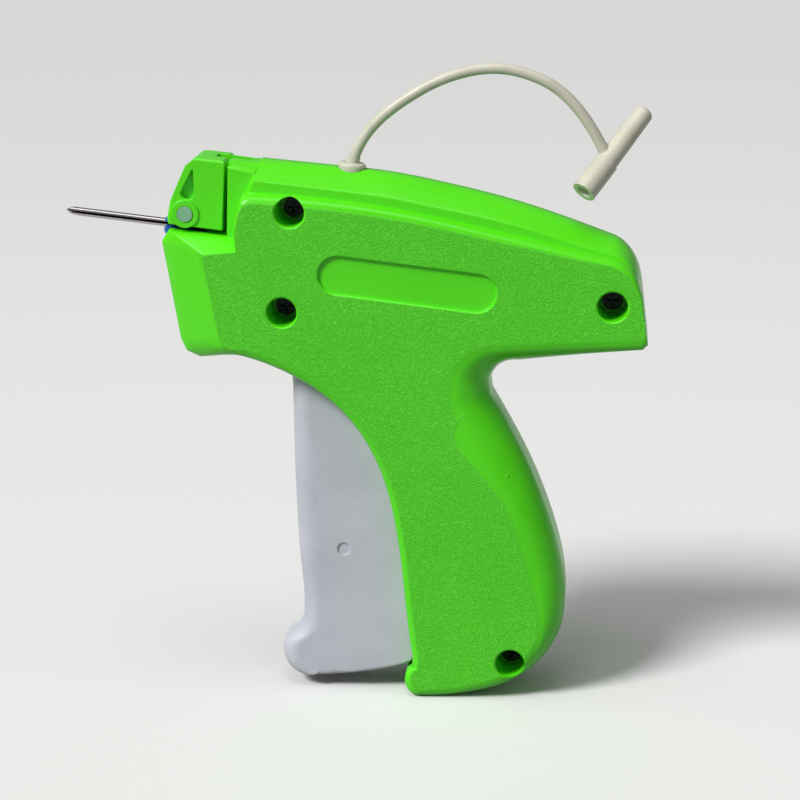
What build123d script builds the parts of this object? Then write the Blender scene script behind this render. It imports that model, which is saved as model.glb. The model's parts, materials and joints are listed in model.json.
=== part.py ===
from build123d import *
import math
import os

os.makedirs("parts", exist_ok=True)

# A hand-held garment tag attacher. +Z is up, the needle points to -X, the left side faces -Y.
# It stands on the base of its grip at Z = 0. The origin is midway between the needle tip and the
# rear of the housing, on the plane between the two halves.

# ---- driving dimensions, mm and degrees ----
half_width = 13.0            # middle plane to the textured side face
rail_half_width = 9.5        # middle plane to the side wall of the top rail
nose_half_width = 7.5        # middle plane to the side of the nose block
wall = 2.0                   # shell thickness
barrel_tilt = 6.2            # the needle end of the barrel is the higher one
slot_x = -31.3               # where the filament slot crosses the needle axis
slot_z = 116.0
slot_width = 1.25            # slot for the filaments at its foot, also the height of the gap beside it
block_lean = 3.1             # rear face of the nose block, from upright
panel_lean = 1.7             # front face of the panel behind the slot
gap_rise = 0.45              # middle of that gap above the needle axis
channel_length = 9.4         # the fastener channel, along the barrel
channel_left = 1.0
channel_right = 3.6

screw_x = (-14.7, -16.8, 63.2, 39.6)
screw_z = (122.6, 98.1, 100.9, 9.6)
well_radius = 3.65
well_depth = 11.5
well_wall = 1.5
screw_radius = 1.5
screw_head_radius = 2.5
screw_head_height = 2.2
screw_length = 14.0

needle_radius = 1.05
needle_bore = 0.78
needle_slot = 0.6
needle_exposed = 25.6
needle_in_hub = 8.0
hub_length = 10.4
hub_front = 15.3             # front face of the hub ahead of the slot
hub_half_width = 5.2
hub_below = 1.8
hub_above = 2.5

lock_ahead = 10.1            # lock shaft ahead of the slot
lock_rise = 4.0
lock_radius = 1.9
lock_flat = 1.2              # shaft centre to its flat
lock_arm = 9.0
lock_arm_thickness = 1.6

trigger_half_width = 7.5
trigger_wall = 2.0
lever_x = 24.0
lever_z = 57.0
lever_thickness = 3.0
lever_link_arm = 19.0
link_rest_angle = -66.87
pivot_pin_radius = 1.5
link_pin_radius = 1.25
slide_pin_radius = 1.5
slide_stroke = 42.3
fork_play = 0.5
link_play = 0.3
slide_half_width = 6.0
slide_half_height = 4.5
slide_front = 11.0           # carriage ahead of its pin
slide_rear = 7.0
rod_radius = 0.55
rod_reach = 6.2              # rod tip behind the slot at rest
running = 0.3                # gap between plastic pieces that pass each other
bearing = 0.05               # radial play of a pin in its bore

wheel_radius = 3.7
wheel_across = 6.8
wheel_below = 8.0
wheel_thickness = 3.0
wheel_teeth = 8
wheel_axle_radius = 0.9

cord_diameter = 2.7
plug_x = -0.8
flange_radius = 3.45
flange_height = 2.4
flange_sunk = 1.2            # how deep the flange sits in its seat in the rail
nub_radius = 1.55
nub_height = 1.55
cord_lean = 20.0             # the cord leaves the plug this far from upright
stub_radius = 1.9
stub_length = 6.0
cap_length = 27.0
cap_angle = 51.0             # the needle cap above the horizontal
cap_turn = 31.0              # its mouth is turned this far out to the left
cap_small_radius = 2.35
cap_large_radius = 3.0
cap_step = 9.7               # mouth to the step in its side
cap_step_height = 0.3
cap_join_along = 10.7        # mouth to the branch for the cord
branch_length = 3.9
cap_bore = 1.25

# ---- frames ----
side = Plane.XZ
tilt = math.radians(barrel_tilt)
along = Vector(math.cos(tilt), 0, -math.sin(tilt))
above = Vector(math.sin(tilt), 0, math.cos(tilt))
slot_centre = Vector(slot_x, 0, slot_z)
plug_lean = Vector(math.sin(math.radians(cord_lean)), 0, math.cos(math.radians(cord_lean)))


def on_side(y):
    """Sketch plane with X and Z of the gun, facing -Y, at the given Y."""
    return Plane(origin=(0, y, 0), x_dir=(1, 0, 0), z_dir=(0, -1, 0))


def barrel_point(u, v, y=0.0):
    return slot_centre + along * u + above * v + Vector(0, y, 0)


def barrel_side(y):
    """Sketch plane along the barrel, facing -Y: u to the rear, v upward."""
    return Plane(origin=barrel_point(0, 0, y), x_dir=along, z_dir=(0, -1, 0))


def barrel_section(u, v=0.0, y=0.0):
    """Sketch plane across the barrel, facing the rear."""
    return Plane(origin=barrel_point(u, v, y), x_dir=(0, 1, 0), z_dir=along)


def barrel_xz(u, v):
    point = barrel_point(u, v)
    return (point.X, point.Z)


def turned(point, centre, degrees):
    """Point turned the way that the trigger is squeezed, its lower end to the rear."""
    a = math.radians(degrees)
    dx = point[0] - centre[0]
    dz = point[1] - centre[1]
    return (centre[0] + dx * math.cos(a) - dz * math.sin(a), centre[1] + dx * math.sin(a) + dz * math.cos(a))


# ---- outer shape of one half: outline at the middle plane, outline of the side face, rounding depth ----
straight = 1
rounded = 2
gap_floor = gap_rise - slot_width / 2
gap_roof = gap_rise + slot_width / 2
nose_lip = barrel_xz(-13.7, gap_floor)

nose_front = [
    (nose_lip, (-35.4, 112.0), 5.5, straight),
    ((-46.9, 114.2), (-35.8, 111.4), 5.5, straight),
    ((-42.7, 89.9), (-32.0, 91.6), 5.5, straight),
]
nose_corner = [
    ((-41.3, 86.9), (-31.2, 89.6), 5.5, straight),
    ((-38.0, 85.4), (-29.2, 88.6), 5.5, straight),
]
grip_front = [
    ((-27.0, 86.7), (-24.5, 88.7), 2.6, rounded),
    ((-15.0, 82.3), (-13.6, 84.4), 2.4, rounded),
    ((-0.8, 71.6), (0.9, 73.1), 2.4, rounded),
    ((6.2, 60.4), (8.2, 61.3), 2.4, rounded),
    ((10.4, 46.2), (12.6, 46.6), 2.4, rounded),
    ((12.3, 33.2), (14.5, 33.4), 2.4, rounded),
    ((15.0, 10.5), (17.1, 11.0), 2.4, rounded),
]
horn = [
    ((14.9, 7.4), (16.6, 7.8), 2.4, rounded),
    ((13.1, 4.7), (15.2, 5.1), 2.4, rounded),
    ((14.1, 1.2), (15.9, 2.7), 2.4, rounded),
    ((16.2, 0.0), (17.6, 2.1), 2.4, rounded),
]
grip_back = [
    ((22.0, 0.0), (22.6, 2.8), 3.2, rounded),
    ((27.5, 0.6), (27.8, 3.7), 3.8, rounded),
    ((33.5, 1.8), (32.9, 5.1), 4.4, rounded),
    ((39.0, 3.7), (37.6, 7.0), 5.0, rounded),
    ((46.5, 9.0), (43.0, 11.8), 6.0, rounded),
    ((51.3, 15.9), (45.6, 17.6), 7.0, rounded),
    ((52.9, 25.0), (45.0, 25.0), 7.5, rounded),
    ((51.3, 37.5), (41.4, 37.0), 8.0, rounded),
    ((47.8, 48.8), (36.4, 51.0), 8.5, rounded),
    ((44.0, 58.1), (30.6, 59.6), 8.5, rounded),
    ((38.1, 69.6), (25.4, 68.9), 9.0, rounded),
    ((33.9, 76.9), (22.8, 77.2), 9.5, rounded),
]
neck = [
    ((33.5, 80.7), (22.9, 82.6), 9.5, rounded),
    ((35.9, 84.6), (26.6, 88.2), 9.0, rounded),
    ((41.2, 86.1), (35.4, 91.5), 8.0, rounded),
]
rear = [
    ((70.7, 90.0), (70.3, 93.2), 3.0, rounded),
    ((71.9, 91.2), (71.3, 94.0), 3.0, rounded),
    ((70.4, 103.2), (70.0, 103.4), 2.4, rounded),
]
rear_corner = [
    ((69.2, 107.1), (68.1, 106.4), 3.2, rounded),
    ((66.6, 110.5), (65.4, 109.1), 3.4, rounded),
    ((62.5, 112.3), (61.8, 110.6), 3.2, rounded),
]
shoulder = [
    ((43.6, 116.6), (43.0, 114.2), 3.2, rounded),
    ((21.8, 121.4), (21.4, 118.8), 3.2, rounded),
    ((8.3, 123.9), (8.0, 121.2), 3.2, rounded),
    ((-9.0, 126.0), (-8.6, 123.2), 3.2, rounded),
    ((-24.6, 126.9), (-24.0, 124.3), 3.2, rounded),
]
shoulder_front = [
    ((-26.6, 125.9), (-26.0, 123.4), 3.2, rounded),
    ((-27.6, 123.6), (-26.9, 121.6), 3.2, rounded),
    (barrel_xz(2.5, gap_floor), (-27.7, 112.8), 5.5, straight),
]
outer_runs = [nose_front, nose_corner, grip_front, horn, grip_back, neck, rear, rear_corner, shoulder,
              shoulder_front]
nose_inner = nose_front[1:]  # the hollow leaves out the two short bevels
rear_inner = rear[1:]
hollow_runs = [nose_inner, nose_corner, grip_front, grip_back, neck, rear_inner, rear_corner, shoulder,
               shoulder_front]
straight_runs = (nose_front, rear, nose_inner, rear_inner)


def share(depth, y, kind):
    """How far an outline point has moved from the middle plane's place to the side face's."""
    t = min(1.0, max(0.0, (y - (half_width - depth)) / depth))
    return t if kind == straight else 1.0 - math.sqrt(1.0 - t * t)


def outline_at(y, runs, inset):
    """The runs of outline points at a distance y from the middle plane, moved inward by inset."""
    points = []
    for run in runs:
        for inner, outer, depth, kind in run:
            s = share(depth, y, kind)
            points.append(Vector(inner[0] + s * (outer[0] - inner[0]), inner[1] + s * (outer[1] - inner[1])))
    moved = []
    for i, point in enumerate(points):
        before = (point - points[i - 1]).normalized()
        after = (points[(i + 1) % len(points)] - point).normalized()
        mean = before + after
        normal = Vector(-mean.Y, mean.X).normalized()
        stretch = max(0.5, normal.dot(Vector(-before.Y, before.X)))
        moved.append(point + normal * (inset / stretch))
    result = []
    for run in runs:
        result.append(moved[: len(run)])
        moved = moved[len(run):]
    return result


def draw_outline(y, runs, inset=0.0):
    """Lines for one closed outline: each curved run is a spline, with straight lines between runs."""
    groups = outline_at(y, runs, inset)
    for i, group in enumerate(groups):
        if i > 0:
            Line(groups[i - 1][-1], group[0])
        if runs[i] not in straight_runs:
            Spline(*group)
        elif len(group) > 1:
            Polyline(*group)
    Line(groups[-1][-1], groups[0][0])


levels = [0.0, 4.5, 6.5, 8.5, 10.0, 11.2, 12.1, 12.7, half_width]

# the top rail: outline at the ridge and at the rail's side wall
rail_front = [
    ((-26.0, 112.0), (-26.0, 112.0)),
    ((-27.0, 124.2), (-27.0, 124.2)),
    ((-22.9, 133.9), (-24.4, 129.8)),
]
rail_top = [
    ((3.0, 131.6), (3.0, 127.0)),
    ((20.7, 128.7), (20.7, 123.9)),
    ((40.2, 124.0), (40.2, 119.7)),
    ((57.0, 118.4), (57.0, 114.6)),
    ((63.5, 116.0), (62.6, 113.2)),
]
rail_rear = [
    ((67.7, 112.3), (66.9, 110.8)),
    ((69.8, 107.4), (69.2, 107.0)),
    ((70.3, 103.2), (70.0, 103.2)),
]
rail_bottom = [((60.0, 100.0), (60.0, 100.0))]
rail_crown = [(0.0, 0.0), (0.22, 0.02), (0.43, 0.2), (0.68, 0.53), (0.85, 0.8), (0.93, 0.91), (0.98, 0.99),
              (1.0, 1.06)]
rail_corner = 1.4            # rounding of the rail's front edge, toward its side wall

# ---- places worked out from the driving dimensions ----
pivot = (screw_x[1], screw_z[1])
half_slot = slot_width / 2
half_channel = channel_length / 2
lever_offset = Vector(lever_x - slot_x, 0, lever_z - slot_z)
slide_mid = lever_offset.dot(along)
lever_to_axis = -lever_offset.dot(above)
slide_rest = slide_mid + slide_stroke / 2
lever_half_swing = math.degrees(math.atan(slide_stroke / 2 / lever_to_axis))
lever_rest_angle = 90 - barrel_tilt - lever_half_swing
link_rest = (
    lever_x + lever_link_arm * math.cos(math.radians(link_rest_angle)),
    lever_z + lever_link_arm * math.sin(math.radians(link_rest_angle)),
)
link_mid = turned(link_rest, (lever_x, lever_z), lever_half_swing)
link_near = math.hypot(link_rest[0] - pivot[0], link_rest[1] - pivot[1])
link_far = math.hypot(link_mid[0] - pivot[0], link_mid[1] - pivot[1])
link_angle = math.degrees(math.atan2(link_rest[1] - pivot[1], link_rest[0] - pivot[0]))
boss_radius = well_radius + well_wall
seat_y = half_width - well_depth
inner_half = half_width - wall
mouth_half = trigger_half_width + 0.5
hub_rear = hub_length - hub_front
hub_groove = hub_half_width + bearing
guide_front = slide_rest - slide_stroke - slide_front - 2.0
guide_rear = slide_rest + slide_rear + 2.0
guide_gap = slide_half_height + running
lock_u = -lock_ahead
lock_boss = 0.35             # height of the boss round the lock shaft

# ---- inner sizes ----
top_at_slot = 134.1
block_front = ((-45.4, 119.9), (-44.6, 124.0), (-41.7, 130.5), (-40.6, 132.9), (-38.3, 134.8))
past_middle = 1.0            # cuts in a half start this far beyond the middle plane
hollow_step = 0.1            # each wider step of the hollow lies this much further in
rim = 0.35                   # bevel round the wells and the recess
# top of the panel behind the slot, out and up from the middle: at its front and where it meets the rail
panel_front_top = ((7.5, 132.8), (6.2, 134.1), (4.1, 134.3), (2.1, 134.3), (-1.0, 134.3))
panel_rear_top = ((7.5, 131.0), (6.2, 131.8), (4.1, 133.0), (2.1, 133.7), (-1.0, 133.8))
panel_notch = 1.2            # cut corner at the top of the slot
web_bottom = 4.5             # floor of the nose, below the needle axis
web_half_width = 7.4
chute_wall = 1.0
chute_bottom = 27.0
tongue_near = 4.3
tongue_far = 6.3
tongue_low = 3.0
tongue_high = 13.5
tongue_length = 20.5
pilot_boss_radius = 4.0
nose_floor = 88.9
spring_x = -36.4
spring_y = -5.0
spring_arm_low = 99.6
spring_arm_high = 103.4
spring_radius = 2.3
spring_wire = 0.6
pawl_x = -29.1
pawl_low = 96.4
pawl_high = 103.7
pawl_slot_z = 98.9
pawl_tip_radius = 1.1
pawl_lift = 0.5              # room above the trigger's finger, which slopes as it turns
pawl_near = 5.6
pawl_far = 7.6
pawl_spring_radius = 0.9
pawl_spring_wire = 0.4
bracket_near = 4.9
bracket_thickness = 1.8
bracket_from_wheel = 1.1
bracket_low = 11.2
recess_depth = 0.9
recess_radius = 4.6
recess_ends = ((-3.2, 107.5), (30.6, 103.7))
nub_sunk = 0.9               # the tilted nub starts this far inside the flange


def blend(pairs, s):
    """Outline points a share s of the way from the first of each pair to the second."""
    return [Vector(a[0] + s * (b[0] - a[0]), a[1] + s * (b[1] - a[1])) for a, b in pairs]


def barrel_box(u0, u1, v0, v1, y0, y1, mode=Mode.ADD):
    """Block square to the barrel between two distances to the left of the middle plane."""
    with BuildSketch(barrel_side(-y0)) as profile:
        with Locations(((u0 + u1) / 2, (v0 + v1) / 2)):
            Rectangle(u1 - u0, v1 - v0)
    extrude(profile.sketch, amount=y1 - y0, mode=mode)


def upright_box(x0, x1, z0, z1, y0, y1, mode=Mode.ADD):
    """Block square to the gun between two distances to the left of the middle plane."""
    with BuildSketch(on_side(-y0)) as profile:
        with Locations(((x0 + x1) / 2, (z0 + z1) / 2)):
            Rectangle(x1 - x0, z1 - z0)
    extrude(profile.sketch, amount=y1 - y0, mode=mode)


def post(point, radius, y0, y1, mode=Mode.ADD):
    """Round post across the gun at an X, Z place."""
    with BuildSketch(on_side(-y0)) as profile:
        with Locations(point):
            Circle(radius)
    extrude(profile.sketch, amount=y1 - y0, mode=mode)


def main_body():
    """Left half of the main body, solid, rounded toward its side face."""
    with BuildPart() as body:
        for y in levels:
            with BuildSketch(on_side(-y)):
                with BuildLine():
                    draw_outline(y, outer_runs)
                make_face()
        loft(ruled=True)
    return body.part


def rail():
    """Left half of the crowned rail along the top, solid."""
    with BuildPart() as body:
        for y, s in rail_crown:
            t = max(0.0, (y * rail_half_width - rail_half_width + rail_corner) / rail_corner)
            shift = Vector(rail_corner * (1 - math.sqrt(1 - t * t)), 0)
            front = [point + shift for point in blend(rail_front, s)]
            top = blend(rail_top, s)
            back = blend(rail_rear, s)
            bottom = blend(rail_bottom, s)
            with BuildSketch(on_side(-y * rail_half_width)):
                with BuildLine():
                    Polyline(*front, top[0])
                    Spline(*top, tangents=(top[0] - front[-1], top[-1] - top[-2]))
                    Spline(top[-1], *back)
                    Polyline(back[-1], bottom[0], front[0])
                make_face()
        loft(ruled=True)
    return body.part


def slot_face(start, lean):
    """Foot and top of a face beside the filament slot, which leans to the rear."""
    foot = barrel_xz(start, gap_floor)
    return foot, (foot[0] + (top_at_slot - foot[1]) * math.tan(math.radians(lean)), top_at_slot)


def nose_panel(start, lean):
    """Left half of the straight-sided stretch of the rail behind the filament slot."""
    low, high = slot_face(start, lean)
    with BuildPart() as body:
        with BuildSketch(side):
            with BuildLine():
                Polyline(low, high, (-22.8, 133.45), (-23.2, 132.4), (-25.6, 126.5), (-24.0, 112.0), low)
            make_face()
        extrude(amount=nose_half_width)
        for x, top in ((low[0] - 1, panel_front_top), (rail_front[2][0][0], panel_rear_top)):
            with BuildSketch(Plane(origin=(x, 0, 0), x_dir=(0, -1, 0), z_dir=(-1, 0, 0))):
                with BuildLine():
                    Polyline((-1, 100), (nose_half_width, 100), *top, (-1, 100))
                make_face()
        loft(ruled=True, mode=Mode.INTERSECT)
    return body.part


def between(first, second, y):
    """Sketch plane facing -Y, centred between two X, Z places and turned along them."""
    middle = ((first[0] + second[0]) / 2, -y, (first[1] + second[1]) / 2)
    return Plane(origin=middle, x_dir=(second[0] - first[0], 0, second[1] - first[1]), z_dir=(0, -1, 0))


def capsule(first, second, width, y0, y1, mode=Mode.ADD):
    """Block with round ends between two X, Z places."""
    with BuildSketch(between(first, second, y0)) as profile:
        SlotCenterToCenter(math.dist(first, second), width)
    extrude(profile.sketch, amount=y1 - y0, mode=mode)


def bevel_well(place):
    """Bevel where a screw well meets the side face."""
    with BuildSketch(on_side(rim - half_width)) as inner:
        with Locations(place):
            Circle(well_radius)
    with BuildSketch(on_side(-rim - half_width)) as outer:
        with Locations(place):
            Circle(well_radius + 2 * rim)
    loft([inner.sketch, outer.sketch], mode=Mode.SUBTRACT)


def bevel_recess():
    """Bevel where the oblong recess meets the side face."""
    with BuildSketch(between(*recess_ends, half_width - rim)) as inner:
        SlotCenterToCenter(math.dist(*recess_ends), 2 * recess_radius)
    with BuildSketch(between(*recess_ends, half_width + rim)) as outer:
        SlotCenterToCenter(math.dist(*recess_ends), 2 * recess_radius + 4 * rim)
    loft([inner.sketch, outer.sketch], ruled=True, mode=Mode.SUBTRACT)


def housing_half(is_left):
    """One half of the housing, made on the left side of the middle plane."""
    channel = channel_left if is_left else channel_right
    with BuildPart() as outer:
        add(main_body())
        add(rail())
        if is_left:
            add(nose_panel(half_slot, panel_lean))
        else:
            add(nose_panel(-half_slot, block_lean))
    with BuildPart() as fittings:
        for i, place in enumerate(zip(screw_x, screw_z)):
            post(place, boss_radius if is_left or i == 1 else pilot_boss_radius, 0, half_width)
        post((lever_x, lever_z), pivot_pin_radius + 1.8, lever_thickness + 1.3, half_width)
        barrel_box(hub_rear - hub_length + 2, 8.0, -web_bottom, gap_floor, 0, web_half_width)
        for v0 in (-guide_gap - 1.8, guide_gap):
            barrel_box(guide_front, guide_rear, v0, v0 + 1.8, 2.4, half_width)
        for v0 in (-3.5, 2.3):
            barrel_box(guide_front, guide_rear, v0, v0 + 1.2, slide_half_width + running, half_width)
        barrel_box(21.5, 23.5, -5.0, 6.0, 0, half_width)
        if is_left:
            post((spring_x, nose_floor - spring_radius), spring_radius, -spring_y - 0.1, -spring_y + 0.1)
            upright_box(spring_x - 3, spring_x + 3, 85.5, nose_floor, -spring_y - 3, half_width)
        else:
            for u0 in (-wheel_thickness / 2 - bracket_from_wheel - bracket_thickness,
                       wheel_thickness / 2 + bracket_from_wheel):
                u1 = u0 + bracket_thickness
                barrel_box(u0, u1, -bracket_low, -web_bottom + 0.2, bracket_near, half_width)
            upright_box(pawl_x - 3.9, pawl_x + 3.0, 94.0, pawl_high, pawl_far + running / 2, half_width)
            upright_box(pawl_x - 3.9, pawl_x - 2.4 - running / 2, 94.0, pawl_high, pawl_near, half_width)
            upright_box(pawl_x - 2.4, pawl_x + 2.4, 85.5, nose_floor, pawl_near - 0.6, half_width)
        add(outer.part, mode=Mode.INTERSECT)
    with BuildPart() as half:
        add(outer.part)
        for i, y in enumerate((5.0, mouth_half, inner_half)):
            with BuildSketch(on_side(past_middle)):
                with BuildLine():
                    draw_outline(y, hollow_runs, wall + i * hollow_step)
                make_face()
            extrude(amount=y + past_middle, mode=Mode.SUBTRACT)
        with BuildSketch(on_side(past_middle)):
            with BuildLine():
                top = [point - Vector(0, 2.4) for point in blend(rail_top, 0.45)]
                Polyline((-19.5, 118.0), (-19.5, 129.6), (-14.0, 129.6), top[0])
                Spline(*top[:4])
                Polyline(top[3], (56.0, 106.0), (-19.5, 118.0))
            make_face()
        extrude(amount=rail_half_width * 0.6 + past_middle, mode=Mode.SUBTRACT)
        if is_left:
            notch_x = slot_face(half_slot, panel_lean)[1][0]
            upright_box(notch_x - panel_notch, notch_x + panel_notch, top_at_slot - panel_notch,
                        top_at_slot + 1, nose_half_width - panel_notch, half_width, Mode.SUBTRACT)
        else:
            barrel_box(-half_slot - 1, tongue_length + 0.1, tongue_low - bearing, tongue_high + bearing,
                       tongue_near - bearing, tongue_far + bearing, Mode.SUBTRACT)
        add(fittings.part)
        barrel_box(-hub_front - 1, -half_channel, -hub_below - bearing, gap_floor + 1, -past_middle,
                   hub_groove, Mode.SUBTRACT)
        barrel_box(-half_channel, half_channel, -web_bottom - 1, 25, -past_middle, channel, Mode.SUBTRACT)
        barrel_box(-half_channel, half_channel, -36, -chute_bottom + 1.5, -past_middle, channel,
                   Mode.SUBTRACT)
        with BuildSketch(on_side(past_middle)):
            with BuildLine():
                Polyline((-17.6, 74), (-17.6, 90), (-2, 86), (9, 73), (15, 58), (17.6, 44), (20, 24),
                         (26, 20), (26, 9), (20, 7.8), (16, 6.2), (7.5, 5.6), (6, 40), (-4, 62), (-17.6, 74))
            make_face()
        extrude(amount=mouth_half + past_middle, mode=Mode.SUBTRACT)
        with BuildSketch(barrel_section(-half_channel)):
            Circle(rod_radius + running)
        extrude(amount=guide_front + half_channel, mode=Mode.SUBTRACT)
        post((lever_x, lever_z), pivot_pin_radius, -past_middle, inner_half, Mode.SUBTRACT)
        for i, place in enumerate(zip(screw_x, screw_z)):
            if is_left:
                post(place, well_radius, seat_y, half_width + 1, Mode.SUBTRACT)
                bevel_well(place)
                post(place, screw_radius + 0.1, -past_middle, half_width, Mode.SUBTRACT)
            else:
                post(place, screw_radius, -past_middle, inner_half, Mode.SUBTRACT)
        capsule(*recess_ends, 2 * recess_radius, half_width - recess_depth, half_width + 1, Mode.SUBTRACT)
        bevel_recess()
        plug_seat = Plane(origin=(plug_x, 0, plug_z), x_dir=along, z_dir=above).offset(-flange_sunk)
        with BuildSketch(plug_seat):
            Circle(flange_radius + 4 * bearing)
        extrude(amount=2 * flange_height, mode=Mode.SUBTRACT)
        with BuildSketch(plug_seat):
            Circle(stub_radius + bearing)
        extrude(amount=-8, mode=Mode.SUBTRACT)
        if not is_left:
            with BuildSketch(barrel_section(-wheel_thickness / 2 - 4, -wheel_below, -wheel_across)):
                Circle(wheel_axle_radius)
            extrude(amount=wheel_thickness + 8, mode=Mode.SUBTRACT)
    return half.part


def save(piece, name):
    piece.label = name
    export_step(piece, f"parts/{name}.step")


# ---- tether plug place, on the ridge of the rail ----
ridge_front = rail_front[2][0]
ridge_next = rail_top[0][0]
ridge_slope = (ridge_next[1] - ridge_front[1]) / (ridge_next[0] - ridge_front[0])
plug_z = ridge_front[1] + ridge_slope * (plug_x - ridge_front[0])


# ---- housing ----
with BuildPart() as left_housing:
    add(housing_half(True))
save(left_housing.part, "left_housing")

right_as_left = housing_half(False)
with BuildPart() as right_housing:
    add(mirror(right_as_left, about=Plane.XZ))
save(right_housing.part, "right_housing")

# ---- nose block: holds the needle hub down and carries the lock ----
with BuildPart() as nose_block:
    with BuildSketch(on_side(-nose_half_width)):
        with BuildLine():
            rear_foot, rear_top = slot_face(-half_slot, block_lean)
            rise = slot_width / math.cos(tilt)
            rear_foot = (rear_foot[0] + rise * math.tan(math.radians(block_lean)), rear_foot[1] + rise)
            front_foot = barrel_xz(-14.0, gap_roof)
            Polyline(front_foot, *block_front, rear_top, rear_foot, front_foot)
        make_face()
    extrude(amount=-2 * nose_half_width)
    chamfer(nose_block.faces().sort_by(Axis.Z)[-1].edges(), 0.5)
    chamfer(nose_block.faces().sort_by(Axis.Y)[0].edges().sort_by(Axis.X)[0:2], 0.5)
    barrel_box(-13.3, -half_slot - 2 * bearing, gap_floor, gap_roof + 0.2, -nose_half_width,
               -hub_half_width - 0.2)
    barrel_box(-half_slot - 2, tongue_length, tongue_low, tongue_high, -tongue_far, -tongue_near)
    with BuildSketch(on_side(-nose_half_width)):
        with Locations(barrel_xz(lock_u, lock_rise)):
            Circle(lock_radius + 1.5)
    extrude(amount=lock_boss)
    post((screw_x[0], screw_z[0]), pilot_boss_radius + 0.15, -tongue_far, -tongue_near, Mode.SUBTRACT)
    barrel_box(-hub_front - 2, -half_channel, gap_floor - 1, hub_above + bearing, -hub_groove, hub_groove,
               Mode.SUBTRACT)
    barrel_box(-half_channel, half_channel, gap_floor - 1, 25, -channel_right, channel_left, Mode.SUBTRACT)
    post(barrel_xz(lock_u, lock_rise), lock_radius + bearing, -nose_half_width, nose_half_width + 1,
         Mode.SUBTRACT)
    with BuildSketch(on_side(-nose_half_width + 1.8)):
        with BuildLine():
            tear_low = ThreePointArc((-42.0, 126.2), (-40.4, 124.7), (-38.5, 125.6))
            Polyline(tear_low @ 1, (-38.7, 131.8), (-39.1, 131.9), tear_low @ 0)
        make_face()
    extrude(amount=3, mode=Mode.SUBTRACT)
save(nose_block.part, "nose_block")

# ---- needle and its hub ----
tip_u = -hub_front - needle_exposed
with BuildPart() as needle:
    with BuildSketch(barrel_section(tip_u)):
        Circle(needle_radius)
        Circle(needle_bore, mode=Mode.SUBTRACT)
        with Locations((-needle_radius, 0)):
            Rectangle(2 * needle_radius, needle_slot, mode=Mode.SUBTRACT)
    extrude(amount=needle_exposed + needle_in_hub)
    with BuildSketch(barrel_side(-2 * needle_radius)):
        with BuildLine():
            Polyline((tip_u - 1, -0.15), (tip_u, -0.15), (tip_u + 3.7, -needle_radius - 0.1), (tip_u - 1, -2),
                     (tip_u - 1, -0.15))
        make_face()
        with BuildLine():
            crown = ThreePointArc((tip_u - 0.1, -0.1), (tip_u + 1.1, 0.72),
                                  (tip_u + 3.2, needle_radius + 0.1))
            Polyline(crown @ 1, (tip_u - 1, 2), (tip_u - 1, -0.1), crown @ 0)
        make_face()
    extrude(amount=-4 * needle_radius, mode=Mode.SUBTRACT)
save(needle.part, "needle")

with BuildPart() as needle_hub:
    barrel_box(-hub_front, hub_rear, -hub_below, hub_above, -hub_half_width, hub_half_width)
    chamfer(needle_hub.faces().sort_by(Axis.X)[0].edges(), 0.6)
    with BuildSketch(barrel_section(-hub_front)):
        Circle(needle_radius)
    extrude(amount=needle_in_hub, mode=Mode.SUBTRACT)
    with BuildSketch(barrel_section(-hub_front)):
        Circle(needle_bore)
    extrude(amount=hub_length, mode=Mode.SUBTRACT)
    barrel_box(-hub_front, hub_rear, -needle_slot / 2, gap_roof, 0.3, hub_half_width, Mode.SUBTRACT)
    post(barrel_xz(lock_u, lock_rise), lock_radius + 0.15, -hub_half_width, hub_half_width, Mode.SUBTRACT)
save(needle_hub.part, "needle_hub")

# ---- needle lock: a cross shaft with a flat, turned by a lever on the right side ----
lock_point = barrel_xz(lock_u, lock_rise)
with BuildPart() as needle_lock:
    post(lock_point, lock_radius, -nose_half_width - 0.3, nose_half_width + lock_boss + 0.2)
    barrel_box(lock_u - 3, lock_u - lock_flat, lock_rise - 3, lock_rise + 3, -hub_half_width - 0.4,
               hub_half_width + 0.4, Mode.SUBTRACT)
    arm_near = nose_half_width + 0.2
    capsule(lock_point, barrel_xz(lock_u + 1.5, lock_rise + lock_arm), 2 * lock_radius + 1.6,
            -arm_near - lock_arm_thickness, -arm_near)
    post(barrel_xz(lock_u + 1.5, lock_rise + lock_arm), 1.6, -arm_near - lock_arm_thickness - 1.0, -arm_near)
save(needle_lock.part, "needle_lock")

# ---- fastener guide: the chute below the nose where the spent strip leaves ----
with BuildPart() as fastener_guide:
    barrel_box(-half_channel - chute_wall, half_channel + chute_wall, -chute_bottom, -web_bottom,
               -channel_right - chute_wall, channel_left + chute_wall)
    barrel_box(-half_channel, half_channel, -chute_bottom, -web_bottom, -channel_right, channel_left,
               Mode.SUBTRACT)
    barrel_box(-wheel_thickness / 2 - running, wheel_thickness / 2 + running, -wheel_below - 3,
               -web_bottom - 0.6, -channel_right - chute_wall, -channel_right, Mode.SUBTRACT)
save(fastener_guide.part, "fastener_guide")

# ---- feed wheel, its axle, its detent and its pawl ----
with BuildPart() as feed_wheel:
    with BuildSketch(barrel_section(-wheel_thickness / 2, -wheel_below, wheel_across)):
        Circle(wheel_radius * 0.62)
        with PolarLocations(wheel_radius * 0.6, wheel_teeth):
            with BuildLine():
                Polyline((-0.3, -1.0), (wheel_radius * 0.4, -0.25), (wheel_radius * 0.4, 0.25), (-0.3, 1.0),
                         (-0.3, -1.0))
            make_face()
        Circle(wheel_axle_radius + bearing, mode=Mode.SUBTRACT)
    extrude(amount=wheel_thickness)
save(feed_wheel.part, "feed_wheel")

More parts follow.
